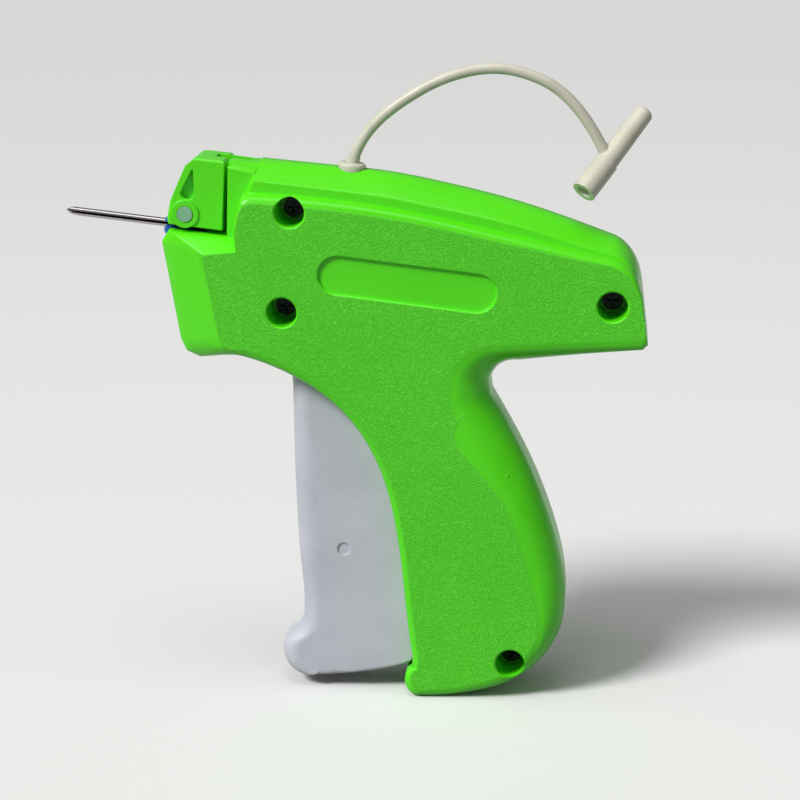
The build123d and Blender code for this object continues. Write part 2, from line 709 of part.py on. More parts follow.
axle_half = wheel_thickness / 2 + bracket_from_wheel + bracket_thickness
with BuildPart() as feed_wheel_axle:
    with BuildSketch(barrel_section(-axle_half, -wheel_below, wheel_across)):
        Circle(wheel_axle_radius)
    extrude(amount=2 * axle_half)
save(feed_wheel_axle.part, "feed_wheel_axle")

with BuildPart() as detent_spring:
    barrel_box(-1.0, 1.0, -wheel_below - 4.0, -wheel_below + 3.0, -inner_half + bearing, -inner_half + 0.4)
save(detent_spring.part, "detent_spring")

with BuildPart() as feed_pawl:
    upright_box(pawl_x - 2.4, pawl_x + 1.6, pawl_low, pawl_slot_z + 2.4, -pawl_far, -pawl_near)
    upright_box(pawl_x - 2.4, pawl_x - 0.2, pawl_low, pawl_high, -pawl_far, -pawl_near)
    upright_box(pawl_x - 1.5, pawl_x + 3, pawl_slot_z - pawl_tip_radius - running,
                pawl_slot_z + pawl_tip_radius + pawl_lift, -pawl_far, -pawl_near, Mode.SUBTRACT)
save(feed_pawl.part, "feed_pawl")


def coil(x, y, low, high, radius, wire, turns):
    """Upright coil spring between two heights, with its ends closed flat by a ring."""
    with BuildPart() as spring:
        height = high - low - wire
        with BuildLine():
            turn = Helix(pitch=height / turns, height=height, radius=radius, center=(x, y, low + wire / 2))
        with BuildSketch(Plane(origin=turn @ 0, z_dir=turn % 0)):
            Circle(wire / 2)
        sweep()
    return spring.part


with BuildPart() as pawl_spring:
    add(coil(pawl_x, (pawl_near + pawl_far) / 2, nose_floor + 0.05, pawl_low - 0.05, pawl_spring_radius,
             pawl_spring_wire, 6))
save(pawl_spring.part, "pawl_spring")

with BuildPart() as trigger_spring:
    add(coil(spring_x, spring_y, nose_floor + 0.05, spring_arm_low - 0.05, spring_radius, spring_wire, 6))
save(trigger_spring.part, "trigger_spring")

# ---- trigger ----
front_edge = [(-18.2, 11.7), (-16.3, 13.4), (-14.1, 15.9), (-13.3, 19.6), (-14.0, 31.5), (-14.9, 46.5),
              (-15.4, 62.0), (-15.5, 74.0), (-16.2, 86.0)]
toe = [(-14.6, 2.7), (-17.0, 4.2), (-18.4, 6.6), (-18.7, 9.4)]
toe_bottom = [(-9.0, 2.4), (-1.3, 3.1), (6.4, 4.3), (14.0, 6.4)]
rear_edge = [(15.4, 8.9), (16.4, 13.0), (14.4, 33.0), (12.6, 46.0), (11.0, 57.0), (5.0, 68.0), (-3.0, 77.0),
             (-9.0, 84.0)]
link_slot_start = (pivot[0] + (link_near - 0.2) * math.cos(math.radians(link_angle)),
                   pivot[1] + (link_near - 0.2) * math.sin(math.radians(link_angle)))
link_slot_end = (pivot[0] + (link_far + 0.2) * math.cos(math.radians(link_angle)),
                 pivot[1] + (link_far + 0.2) * math.sin(math.radians(link_angle)))
link_slot_radius = link_pin_radius + link_play
cheek_near = lever_thickness / 2 + 0.5
front_round = 5.0
toe_round = 1.6
cheek_far = cheek_near + 2.6
with BuildPart() as trigger:
    for y in (0.0, 3.0, 4.6, 5.9, 6.8, 7.3, trigger_half_width):
        t = y / trigger_half_width
        ease = 1 - math.sqrt(1 - t ** 3)
        front = [Vector(x + front_round * ease, z) for x, z in front_edge]
        low_front = [Vector(x + front_round * ease, z + 0.3 * toe_round * ease) for x, z in toe]
        low = [Vector(x, z + toe_round * ease) for x, z in toe_bottom]
        back = [Vector(x, z) for x, z in rear_edge]
        with BuildSketch(on_side(-y)):
            with BuildLine():
                Spline(*low_front, *front)
                Polyline(front[-1], (-20.0 + front_round, 92.0), (-13.0, 92.0), back[-1])
                Spline(*back[:1:-1])
                Polyline(back[2], back[1], back[0], low[-1])
                Spline(*low[::-1], low_front[0])
            make_face()
    loft(ruled=True)
    mirror(about=Plane.XZ)
    with BuildSketch(on_side(-trigger_half_width + trigger_wall)):
        with BuildLine():
            Polyline((-10.0, 5.3), (-14.9, 9.4), (-10.5, 19.6), (-11.2, 32.0), (-12.3, 50.0), (-12.6, 74.0),
                     (-12.2, 80.0), (24.0, 80.0), (24.0, 11.0), (6.0, 7.0), (-10.0, 5.3))
        make_face()
    extrude(amount=-2 * (trigger_half_width - trigger_wall), mode=Mode.SUBTRACT)
    for y in (-cheek_far, cheek_near):
        with BuildSketch(on_side(-y)):
            with BuildLine():
                Polyline((-12.0, 24.0), (10.0, 22.0), (28.6, 34.6), (31.0, 44.0), (26.0, 44.4), (8.0, 42.0),
                         (-12.6, 48.0), (-12.0, 24.0))
            make_face()
        extrude(amount=cheek_far - cheek_near)
        capsule(link_slot_start, link_slot_end, 2 * link_slot_radius + 2.4, y, y + cheek_far - cheek_near)
    capsule(link_slot_start, link_slot_end, 2 * link_slot_radius, -cheek_far, cheek_far, Mode.SUBTRACT)
    post(pivot, boss_radius + 2.6, -trigger_half_width, trigger_half_width)
    with BuildSketch(on_side(spring_y - 2.5)):
        with BuildLine():
            Polyline((pivot[0], 104.6), (spring_x - 2.6, spring_arm_high), (spring_x - 2.6, spring_arm_low),
                     (spring_x + 3.6, spring_arm_low), (-24.0, spring_arm_low - 1.6), (pivot[0], 92.0),
                     (pivot[0], 104.6))
        make_face()
    extrude(amount=-5.0)
    capsule((pivot[0], pawl_slot_z), (pawl_x, pawl_slot_z), 2 * pawl_tip_radius, -trigger_half_width,
            -pawl_near + 0.1)
    post(pivot, boss_radius + 0.1, -trigger_half_width, trigger_half_width, Mode.SUBTRACT)
    for y0 in (-trigger_half_width - 1, trigger_half_width - 0.3):
        post((-2.5, 36.9), 1.6, y0, y0 + 1.3, Mode.SUBTRACT)
save(trigger.part, "trigger")

# ---- drive lever and its pins ----
swing = math.radians(lever_rest_angle)
fork_far = lever_to_axis / math.cos(math.radians(lever_half_swing)) + slide_pin_radius + 1.2
fork_near = lever_to_axis - slide_pin_radius - running
fork_half = slide_pin_radius + fork_play
fork_root = fork_near - 2.0
lever_elbow = (lever_x + 3.6, lever_z + 28.5)
with BuildPart() as drive_lever:
    post((lever_x, lever_z), pivot_pin_radius + 3.0, -lever_thickness / 2 - 1.0, lever_thickness / 2 + 1.0)
    lever_plane = Plane(origin=(lever_x, -lever_thickness / 2, lever_z), z_dir=(0, -1, 0),
                        x_dir=(math.cos(swing), 0, math.sin(swing)))
    with BuildSketch(lever_plane):
        with Locations(((fork_root + fork_far) / 2, 0)):
            Rectangle(fork_far - fork_root, 2 * fork_half + 3.4)
    extrude(amount=-lever_thickness)
    fork_foot = (lever_x + fork_root * math.cos(swing), lever_z + fork_root * math.sin(swing))
    capsule((lever_x, lever_z), lever_elbow, 6.6, -lever_thickness / 2, lever_thickness / 2)
    capsule(lever_elbow, fork_foot, 6.6, -lever_thickness / 2, lever_thickness / 2)
    with BuildSketch(lever_plane):
        with Locations((fork_far, 0)):
            SlotCenterToCenter(2 * (fork_far - fork_near - fork_half), 2 * fork_half)
    extrude(amount=-lever_thickness, mode=Mode.SUBTRACT)
    capsule((lever_x, lever_z), link_rest, 2 * link_pin_radius + 3.4, -lever_thickness / 2,
            lever_thickness / 2)
    post(link_rest, link_pin_radius, -lever_thickness, lever_thickness, Mode.SUBTRACT)
    post((lever_x, lever_z), pivot_pin_radius + bearing, -half_width, half_width, Mode.SUBTRACT)
save(drive_lever.part, "drive_lever")

with BuildPart() as lever_pivot_pin:
    post((lever_x, lever_z), pivot_pin_radius, -inner_half, inner_half)
save(lever_pivot_pin.part, "lever_pivot_pin")

with BuildPart() as trigger_link_pin:
    post(link_rest, link_pin_radius, -cheek_far, cheek_far)
save(trigger_link_pin.part, "trigger_link_pin")

# ---- slide: carriage, pin and ejector rod ----
with BuildPart() as slide_carriage:
    barrel_box(slide_rest - slide_front, slide_rest + slide_rear, -slide_half_height, slide_half_height,
               -slide_half_width, slide_half_width)
    chamfer(slide_carriage.edges().filter_by(Axis.Y), 0.8)
    barrel_box(slide_rest - 6.4, slide_rest + slide_rear + 1, -slide_half_height, slide_half_height,
               -lever_thickness / 2 - 0.4, lever_thickness / 2 + 0.4, Mode.SUBTRACT)
    post(barrel_xz(slide_rest, 0), slide_pin_radius, -slide_half_width, slide_half_width, Mode.SUBTRACT)
    with BuildSketch(barrel_section(slide_rest - slide_front)):
        Circle(rod_radius)
    extrude(amount=4.0, mode=Mode.SUBTRACT)
save(slide_carriage.part, "slide_carriage")

with BuildPart() as slide_pin:
    post(barrel_xz(slide_rest, 0), slide_pin_radius, -slide_half_width, slide_half_width)
save(slide_pin.part, "slide_pin")

with BuildPart() as ejector_rod:
    with BuildSketch(barrel_section(rod_reach)):
        Circle(rod_radius)
    extrude(amount=slide_rest - slide_front + 4.0 - rod_reach)
save(ejector_rod.part, "ejector_rod")

# ---- screws ----
with BuildPart() as housing_screws:
    for place in zip(screw_x, screw_z):
        post(place, screw_head_radius, seat_y, seat_y + screw_head_height)
        post(place, screw_radius, seat_y - screw_length + 2.0, seat_y)
        for w, h in ((0.7, 3.0), (3.0, 0.7)):
            with BuildSketch(on_side(-seat_y - screw_head_height)):
                with Locations(place):
                    Rectangle(w, h)
            extrude(amount=-1.3, mode=Mode.SUBTRACT)
save(housing_screws.part, "housing_screws")

# ---- tether: plug, cord and needle cap ----
plug_plane = Plane(origin=(plug_x, 0, plug_z), x_dir=along, z_dir=above).offset(bearing - flange_sunk)
plug_top = plug_plane.origin + above * flange_height
with BuildPart() as tether_plug:
    with BuildSketch(plug_plane):
        Circle(flange_radius)
    extrude(amount=flange_height)
    fillet(tether_plug.edges().sort_by(Axis.Z)[-1], 0.9)
    with BuildSketch(Plane(origin=plug_top - plug_lean * nub_sunk, z_dir=plug_lean)):
        Circle(nub_radius)
    extrude(amount=nub_height + nub_sunk)
    with BuildSketch(plug_plane):
        Circle(stub_radius)
    extrude(amount=-stub_length)
    with BuildSketch(plug_plane.offset(1.4 - stub_length)):
        Circle(stub_radius + 0.7)
    extrude(amount=-1.4)
save(tether_plug.part, "tether_plug")

cap_direction = Vector(math.cos(math.radians(cap_angle)), math.tan(math.radians(cap_turn)),
                       math.sin(math.radians(cap_angle))).normalized()
cap_join = Vector(61.45, 0, 134.6)
cap_mouth = cap_join - cap_direction * cap_join_along
cord_start = plug_top + plug_lean * nub_height
route = [
    cord_start,
    cord_start + plug_lean * 5.0,
    Vector(9.1, 0, 146.9),
    Vector(22.7, 0, 154.9),
    Vector(37.6, 0, 157.1),
    Vector(53.3, 0, 149.9),
]
branch_direction = (route[-1] - cap_join).normalized()
route.append(cap_join + branch_direction * branch_length)


def bend_radii(points):
    """Largest even bends for a route: 0.45 of the shorter run over the tangent of half the turn."""
    radii = []
    for before, corner, after in zip(points, points[1:], points[2:]):
        first = corner - before
        second = after - corner
        turn = math.radians(first.get_angle(second))
        radii.append(0.45 * min(first.length, second.length) / math.tan(turn / 2))
    return radii


radii = bend_radii(route)
print("bend radii", [round(radius, 2) for radius in radii])
with BuildPart() as tether_cord:
    with BuildLine() as path:
        FilletPolyline(*route, radius=radii)
    with BuildSketch(Plane(origin=route[0], z_dir=route[1] - route[0])):
        Circle(cord_diameter / 2)
    sweep()
cord_length = path.wires()[0].length
print("cord length", round(cord_length, 2), "volume ratio",
      round(tether_cord.part.volume / (cord_length * math.pi * cord_diameter ** 2 / 4), 4))
save(tether_cord.part, "tether_cord")

cap_plane = Plane(origin=cap_mouth, x_dir=(1, 0, 0), z_dir=cap_direction)
with BuildPart() as needle_cap:
    with BuildSketch(cap_plane):
        Circle(cap_large_radius)
    extrude(amount=cap_step)
    with BuildSketch(cap_plane.offset(cap_step)):
        Circle(cap_large_radius - cap_step_height)
    with BuildSketch(cap_plane.offset(cap_length)):
        Circle(cap_small_radius)
    loft()
    fillet(needle_cap.faces().sort_by(Axis.Z)[-1].edges(), 1.4)
    with BuildSketch(Plane(origin=cap_join, z_dir=branch_direction)):
        Circle(cord_diameter / 2 + 0.1)
    extrude(amount=branch_length)
    with BuildSketch(cap_plane):
        Circle(cap_bore)
    extrude(amount=cap_length - 1.6, mode=Mode.SUBTRACT)
    with BuildSketch(cap_plane):
        Circle(cap_bore + 0.6)
    extrude(amount=1.6, taper=20, mode=Mode.SUBTRACT)
save(needle_cap.part, "needle_cap")
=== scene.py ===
import json
import math
import bmesh
import bpy
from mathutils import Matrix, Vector


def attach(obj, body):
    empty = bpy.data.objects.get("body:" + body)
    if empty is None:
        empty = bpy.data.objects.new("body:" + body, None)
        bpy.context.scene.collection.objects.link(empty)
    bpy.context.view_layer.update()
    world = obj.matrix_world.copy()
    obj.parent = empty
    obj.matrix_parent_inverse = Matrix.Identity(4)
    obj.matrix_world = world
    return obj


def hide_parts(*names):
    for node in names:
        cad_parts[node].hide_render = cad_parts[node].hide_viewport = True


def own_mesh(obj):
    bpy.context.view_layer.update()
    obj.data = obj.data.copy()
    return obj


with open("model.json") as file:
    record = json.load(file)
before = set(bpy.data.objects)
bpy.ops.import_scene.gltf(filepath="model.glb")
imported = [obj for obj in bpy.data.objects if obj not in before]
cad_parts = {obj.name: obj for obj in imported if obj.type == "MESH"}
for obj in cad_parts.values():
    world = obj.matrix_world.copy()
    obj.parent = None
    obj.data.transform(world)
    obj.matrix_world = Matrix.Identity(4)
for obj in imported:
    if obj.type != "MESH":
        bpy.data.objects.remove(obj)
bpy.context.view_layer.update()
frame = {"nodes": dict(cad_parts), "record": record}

mm = 0.001
print("frame loaded:", len(frame["nodes"]), "nodes")

# camera, a little behind square-on and a little above
cameraView = {"azimuth": 5.0, "elevation": 14.0, "distance": 600 * mm, "sensorWidth": 36.0,
              "target": (10.945 * mm, 0.0, 73.74 * mm), "frameWidth": 199.28 * mm}


def placeCamera():
    azimuth = math.radians(cameraView["azimuth"])
    elevation = math.radians(cameraView["elevation"])
    back = Vector((math.sin(azimuth) * math.cos(elevation), -math.cos(azimuth) * math.cos(elevation),
                   math.sin(elevation)))
    lens = bpy.data.cameras.new("camera")
    lens.sensor_width = cameraView["sensorWidth"]
    lens.lens = lens.sensor_width * cameraView["distance"] / cameraView["frameWidth"]
    camera = bpy.data.objects.new("camera", lens)
    bpy.context.scene.collection.objects.link(camera)
    camera.location = Vector(cameraView["target"]) + back * cameraView["distance"]
    camera.rotation_mode = "QUATERNION"
    camera.rotation_quaternion = (-back).to_track_quat("-Z", "Y")
    bpy.context.scene.camera = camera


placeCamera()


# shader maths
class Wire:
    # a socket that sums, scales and compares like a number
    def __init__(self, tree, socket):
        self.tree = tree
        self.socket = socket

    def maths(self, operation, first, second=0.0):
        node = self.tree.nodes.new("ShaderNodeMath")
        node.operation = operation
        for slot, value in zip(node.inputs, (first, second)):
            if isinstance(value, Wire):
                self.tree.links.new(value.socket, slot)
            else:
                slot.default_value = value
        return Wire(self.tree, node.outputs[0])

    def __add__(self, other):
        return self.maths("ADD", self, other)

    def __radd__(self, other):
        return self.maths("ADD", other, self)

    def __sub__(self, other):
        return self.maths("SUBTRACT", self, other)

    def __rsub__(self, other):
        return self.maths("SUBTRACT", other, self)

    def __mul__(self, other):
        return self.maths("MULTIPLY", self, other)

    def __rmul__(self, other):
        return self.maths("MULTIPLY", other, self)

    def __pow__(self, other):
        return self.maths("POWER", self, other)

    def __abs__(self):
        return self.maths("ABSOLUTE", self)

    def __lt__(self, other):
        return self.maths("LESS_THAN", self, other)


class Finish:
    # one material: any node comes from node(), and the shader's sockets are set by name
    def __init__(self, name, **sockets):
        self.material = bpy.data.materials.new(name)
        self.material.use_nodes = True
        self.tree = self.material.node_tree
        self.shader = self.tree.nodes["Principled BSDF"]
        self.place = self.node("ShaderNodeTexCoord").outputs
        for socket, value in sockets.items():
            self.set(socket.replace("_", " "), value)

    def node(self, kind, settings=None, **sockets):
        node = self.tree.nodes.new(kind)
        for name, value in (settings or {}).items():
            setattr(node, name, value)
        for name, value in sockets.items():
            slot = next(s for s in node.inputs if s.enabled and s.name.replace(" ", "_") == name)
            self.feed(slot, value)
        return node

    def feed(self, slot, value):
        if isinstance(value, Wire):
            value = value.socket
        if isinstance(value, bpy.types.NodeSocket):
            self.tree.links.new(value, slot)
        else:
            slot.default_value = value

    def set(self, name, value):
        self.feed(self.shader.inputs[name], value)

    def wire(self, socket):
        return Wire(self.tree, socket)

    def axes(self, socket):
        parts = self.node("ShaderNodeSeparateXYZ", Vector=socket)
        return [self.wire(parts.outputs[i]) for i in range(3)]

    def noise(self, size, detail=2.0, rough=0.5, vector=None):
        # size is the length of one bump
        texture = self.node("ShaderNodeTexNoise", Vector=vector or self.place["Object"],
                            Scale=1.0 / size, Detail=detail, Roughness=rough)
        return self.wire(texture.outputs["Fac"])

    def step(self, value, low, high):
        # 0 below low, 1 above high, smooth between
        ranged = self.node("ShaderNodeMapRange", {"interpolation_type": "SMOOTHSTEP", "clamp": True},
                           Value=value, From_Min=low, From_Max=high)
        return self.wire(ranged.outputs["Result"])

    def blend(self, share, first, second):
        mix = self.node("ShaderNodeMix", {"data_type": "RGBA"})
        factor, firstColour, secondColour = mix.inputs[0], mix.inputs[6], mix.inputs[7]
        for slot, value in ((factor, share), (firstColour, first), (secondColour, second)):
            self.feed(slot, value)
        return mix.outputs[2]

    def softEdges(self, radius):
        return self.node("ShaderNodeBevel", {"samples": 6}, Radius=radius).outputs["Normal"]

    def bump(self, height, depth, normal):
        # height runs 0 to 1, depth is how deep that is
        return self.node("ShaderNodeBump", Height=height, Distance=depth, Normal=normal).outputs["Normal"]


def tone(red, green, blue):
    # screen colour, 0 to 255, as linear light
    steps = [c / 255 for c in (red, green, blue)]
    return tuple(c / 12.92 if c <= 0.04045 else ((c + 0.055) / 1.055) ** 2.4 for c in steps) + (1.0,)


# the shell's green plastic: grain on the flat sides, smooth elsewhere, with a painted highlight on the
# grain's peaks and painted shade in its pits
shellFinish = {
    # deep green colours the parting seam and the painted shade in the grain's pits
    "green": tone(84, 223, 14), "deepGreen": tone(42, 172, 6), "paleGreen": tone(100, 240, 34),
    # the colour of a painted highlight, put on the grain's peaks and the thumb rest's crease
    "paintedGlint": tone(150, 248, 120),
    "sideFace": 12.72 * mm, "sideFade": 0.2 * mm, "nearlyFlat": 0.86, "flat": 0.985,    # of the normal's Y
    "pebbleSize": 0.44 * mm, "fineSize": 0.198 * mm, "grainDepth": 0.12 * mm,
    # the grain's pits are darkened toward deep green as painted shade
    "grainPebbles": 0.6, "grainLimits": (0.38, 0.64), "pitPaintedShade": 0.42, "sidePale": 0.5,
    # the peaks, patches and bare patches set where and how strongly the painted glint shows
    "peakPebbles": 0.45, "peakLimits": (0.56, 0.66), "peakPaintedGlint": 0.6,
    "patchSize": 7 * mm, "patchLimits": (0.3, 0.7), "barePatch": 0.35,      # the glint left between patches
    "mottleSize": 30 * mm, "mottleLimits": (0.35, 0.7), "mottlePale": 0.3,
    "grainRoughness": 0.34, "smoothRoughness": 0.25, "rippleSize": 9 * mm, "rippleRoughness": 0.08,
    "edgeRadius": 0.42 * mm,
    "seamCore": 0.03 * mm, "seamWidth": 0.15 * mm, "seamDepth": 0.14 * mm, "seamDark": 0.7,
}
# the thumb rest's edge: a round-ended outline on both sides of the grip, in X and Z, whose crease gets a
# painted highlight
thumbRest = {"top": (31.0 * mm, 68.4 * mm), "along": (0.645, -0.764), "length": 26 * mm, "radius": 6.1 * mm,
             "width": 0.8 * mm, "height": 0.05 * mm, "fadeFrom": 14.3 * mm, "reach": 3.5 * mm,
             "onGrip": (7 * mm, 9 * mm), "paintedGlint": 0.06}
# the moulding gate's mark on the left side of the grip
gateMark = {"place": (38.4 * mm, 58.0 * mm), "core": 0.33 * mm, "radius": 0.55 * mm, "height": 0.12 * mm,
            "leftOf": -7 * mm}


def thumbRestShares(finish, x, z):
    # the raised edge, fading out down the grip, and the smooth stretch inside it
    rest = thumbRest
    across, up = x - rest["top"][0], z - rest["top"][1]
    down = across * rest["along"][0] + up * rest["along"][1]
    held = down.maths("MINIMUM", down.maths("MAXIMUM", down, 0.0), rest["length"])
    sideways, upright = across - held * rest["along"][0], up - held * rest["along"][1]
    gap = (sideways * sideways + upright * upright) ** 0.5 - rest["radius"]
    frontHalf = finish.step(across * rest["along"][1] - up * rest["along"][0], -rest["reach"], 0.0)
    fade = 1 - finish.step(down, rest["fadeFrom"], rest["length"])
    edge = (1 - finish.step(abs(gap), 0.0, rest["width"])) * fade * frontHalf
    return edge, 1 - finish.step(gap, -rest["width"], 0.0)


def gateShare(finish, x, y, z):
    fromGate = ((x - gateMark["place"][0]) ** 2 + (z - gateMark["place"][1]) ** 2) ** 0.5
    return (1 - finish.step(fromGate, gateMark["core"], gateMark["radius"])) * (y < gateMark["leftOf"])


def grainShares(finish, look, onSide):
    # pebbles with fine noise between them, and the peaks that get a painted glint, more so in patches
    pebbles = finish.noise(look["pebbleSize"], detail=3.0, rough=0.62)
    fine = finish.noise(look["fineSize"])
    patches = finish.step(finish.noise(look["patchSize"]), *look["patchLimits"])
    grain = pebbles * look["grainPebbles"] + fine * (1 - look["grainPebbles"])
    peaks = pebbles * look["peakPebbles"] + fine * (1 - look["peakPebbles"])
    glinting = onSide * (look["barePatch"] + (1 - look["barePatch"]) * patches)
    return finish.step(grain, *look["grainLimits"]), finish.step(peaks, *look["peakLimits"]) * glinting


def shellPlastic():
    look = shellFinish
    finish = Finish("shellPlastic", IOR=1.46, Specular_IOR_Level=0.4, Subsurface_Weight=0.1,
                    Subsurface_Scale=1.5 * mm, Subsurface_Radius=(0.4, 1.0, 0.3))
    x, y, z = finish.axes(finish.place["Object"])
    facing = abs(finish.axes(finish.place["Normal"])[1])
    fromMiddle = abs(y)
    restEdge, inRest = thumbRestShares(finish, x, z)
    onSide = (finish.step(fromMiddle, look["sideFace"], look["sideFace"] + look["sideFade"])
              * finish.step(facing, look["nearlyFlat"], look["flat"]) * (1 - inRest))
    grain, peaks = grainShares(finish, look, onSide)
    mottle = finish.step(finish.noise(look["mottleSize"]), *look["mottleLimits"])
    seam = 1 - finish.step(fromMiddle, look["seamCore"], look["seamWidth"])
    crease = restEdge * finish.step(fromMiddle, *thumbRest["onGrip"])

    pale = mottle * look["mottlePale"] + onSide * look["sidePale"]
    colour = finish.blend(pale, look["green"], look["paleGreen"])
    # painted shade: the grain's pits are coloured darker
    colour = finish.blend((1 - grain) * onSide * look["pitPaintedShade"], colour, look["deepGreen"])
    # painted highlight: the grain's peaks and the thumb rest's crease are coloured paler
    paintedGlint = peaks * look["peakPaintedGlint"] + crease * thumbRest["paintedGlint"]
    colour = finish.blend(paintedGlint, colour, look["paintedGlint"])
    finish.set("Base Color", finish.blend(seam * look["seamDark"], colour, look["deepGreen"]))

    ripple = finish.noise(look["rippleSize"], rough=0.4) * look["rippleRoughness"]
    rougher = onSide * (look["grainRoughness"] - look["smoothRoughness"])
    finish.set("Roughness", look["smoothRoughness"] + rougher + ripple)

    marked = finish.bump(gateShare(finish, x, y, z), gateMark["height"], finish.softEdges(look["edgeRadius"]))
    raised = finish.bump(crease, thumbRest["height"], marked)
    grooved = finish.bump(1 - seam, look["seamDepth"], raised)
    finish.set("Normal", finish.bump(grain * onSide, look["grainDepth"], grooved))
    return finish.material


# the trigger's plastic
triggerFinish = {"white": tone(200, 202, 211), "shade": tone(184, 187, 196), "edgeRadius": 0.5 * mm,
                 "flowSize": 16 * mm, "flowLimits": (0.35, 0.7), "flowShade": 0.6, "flowRoughness": 0.12,
                 "speckSize": 0.7 * mm, "speckLimits": (0.55, 0.7), "speckShade": 0.25,
                 "speckDepth": 0.02 * mm, "roughness": 0.36}


def triggerPlastic():
    look = triggerFinish
    finish = Finish("triggerPlastic", IOR=1.49, Subsurface_Weight=0.2, Subsurface_Scale=3.0 * mm,
                    Subsurface_Radius=(1.0, 0.95, 0.9))
    flow = finish.noise(look["flowSize"], detail=3.0)
    specks = finish.noise(look["speckSize"])
    flowShade = finish.step(flow, *look["flowLimits"]) * look["flowShade"]
    speckShade = finish.step(specks, *look["speckLimits"]) * look["speckShade"]
    finish.set("Base Color", finish.blend(flowShade + speckShade, look["white"], look["shade"]))
    finish.set("Roughness", look["roughness"] + flow * look["flowRoughness"])
    finish.set("Normal", finish.bump(specks, look["speckDepth"], finish.softEdges(look["edgeRadius"])))
    return finish.material


# the other plastics, which differ in colour and gloss
plasticSurface = {"cloudSize": 6 * mm, "cloudLimits": (0.35, 0.75), "cloudRoughness": 0.1,
                  "speckSize": 0.8 * mm, "speckDepth": 0.01 * mm, "edgeRadius": 0.2 * mm}


def plainPlastic(name, colour, darker, roughness, **sockets):
    surface = plasticSurface
    finish = Finish(name, IOR=1.49, **sockets)
    cloud = finish.noise(surface["cloudSize"], detail=3.0, rough=0.55)
    specks = finish.noise(surface["speckSize"])
    finish.set("Base Color", finish.blend(finish.step(cloud, *surface["cloudLimits"]), colour, darker))
    finish.set("Roughness", roughness + cloud * surface["cloudRoughness"])
    finish.set("Normal", finish.bump(specks, surface["speckDepth"], finish.softEdges(surface["edgeRadius"])))
    return finish.material


# metals, with fine drawn lines
steelSurface = {"lineSize": 0.12 * mm, "lineDepth": 0.004 * mm, "lineRoughness": 0.12,
                "cloudSize": 5 * mm, "cloudLimits": (0.4, 0.8), "cloudShade": 0.5, "darker": 0.72,
                "edgeRadius": 0.06 * mm}
# how drawn lines stretch: the smaller a number, the longer the lines on that axis
alongX, alongY = (0.15, 1.0, 1.0), (1.0, 0.3, 1.0)
# the needle: worn grey outside, with painted shade in its bore, which runs along the tilted barrel
needleFinish = {"bright": tone(182, 177, 178), "worn": tone(138, 134, 135), "wear": 0.6,
                "inside": tone(52, 38, 40), "axis": (-31.3 * mm, 116.0 * mm), "tilt": math.radians(6.2),
                "bore": 0.86 * mm, "boreFade": 0.04 * mm,
                "roughness": 0.14, "lineRoughness": 0.1, "boreRoughness": 0.4}


def drawnLines(finish, streak):
    # fine lines, 0 to 1, which also dent the surface
    stretch = finish.node("ShaderNodeMapping", Vector=finish.place["Object"], Scale=streak)
    lines = finish.noise(steelSurface["lineSize"], detail=3.0, rough=0.6, vector=stretch.outputs["Vector"])
    edges = finish.softEdges(steelSurface["edgeRadius"])
    finish.set("Normal", finish.bump(lines, steelSurface["lineDepth"], edges))
    return lines


def brightSteel(name, colour, roughness, streak):
    finish = Finish(name, Metallic=1.0)
    lines = drawnLines(finish, streak)
    cloud = finish.step(finish.noise(steelSurface["cloudSize"]), *steelSurface["cloudLimits"])
    darker = tuple(c * steelSurface["darker"] for c in colour[:3]) + (1.0,)
    finish.set("Base Color", finish.blend(cloud * steelSurface["cloudShade"], colour, darker))
    finish.set("Roughness", roughness + lines * steelSurface["lineRoughness"])
    return finish.material


def needleSteel():
    look = needleFinish
    finish = Finish("needleBore", Metallic=1.0)
    lines = drawnLines(finish, alongX)
    x, y, z = finish.axes(finish.place["Object"])
    across = (x - look["axis"][0]) * math.sin(look["tilt"]) + (z - look["axis"][1]) * math.cos(look["tilt"])
    fromAxis = (y * y + across * across) ** 0.5
    # painted shade: the bore is coloured dark, as if in shadow, and made rougher
    inside = 1 - finish.step(fromAxis, look["bore"] - look["boreFade"], look["bore"])
    steel = finish.blend(lines * look["wear"], look["bright"], look["worn"])
    finish.set("Base Color", finish.blend(inside, steel, look["inside"]))
    rougher = lines * look["lineRoughness"] + inside * look["boreRoughness"]
    finish.set("Roughness", look["roughness"] + rougher)
    return finish.material


# a finish for each material slot, and for two nodes one of their own
finishes = {
    "green_shell": shellPlastic(),
    "white_plastic": triggerPlastic(),
    "natural_plastic": plainPlastic("innerPlastic", tone(226, 226, 218), tone(212, 212, 204), roughness=0.42),
    "tether_plastic": plainPlastic("tetherPlastic", tone(206, 205, 189), tone(196, 194, 175), roughness=0.34,
                                   Subsurface_Weight=0.25, Subsurface_Scale=1.5 * mm),
    "clear_plastic": plainPlastic("lockPlastic", tone(150, 212, 170), tone(128, 196, 150), roughness=0.16,
                                  Subsurface_Weight=0.4, Subsurface_Scale=1.5 * mm, Transmission_Weight=0.25),
    "blue_plastic": plainPlastic("hubPlastic", tone(28, 98, 176), tone(16, 78, 152), roughness=0.3),
    "needle_steel": brightSteel("needleSteel", tone(222, 221, 220), roughness=0.14, streak=alongX),
    "steel": brightSteel("pinSteel", tone(186, 186, 184), roughness=0.26, streak=alongY),
    "spring_steel": brightSteel("springSteel", tone(150, 150, 152), roughness=0.3, streak=(1.0, 1.0, 0.2)),
}
ownFinishes = {
    "housing_screws": brightSteel("blackenedSteel", tone(34, 36, 36), roughness=0.34, streak=alongY),
    "needle": needleSteel(),
}
print("finishes made:", len(finishes) + len(ownFinishes))


# finished copies of moulded pieces and springs
copySettings = {"weld": 0.002 * mm, "flat": math.radians(0.6), "smooth": math.radians(28), "faceWeight": 100}
mouldedPieces = ("left_housing", "right_housing", "nose_block", "trigger")
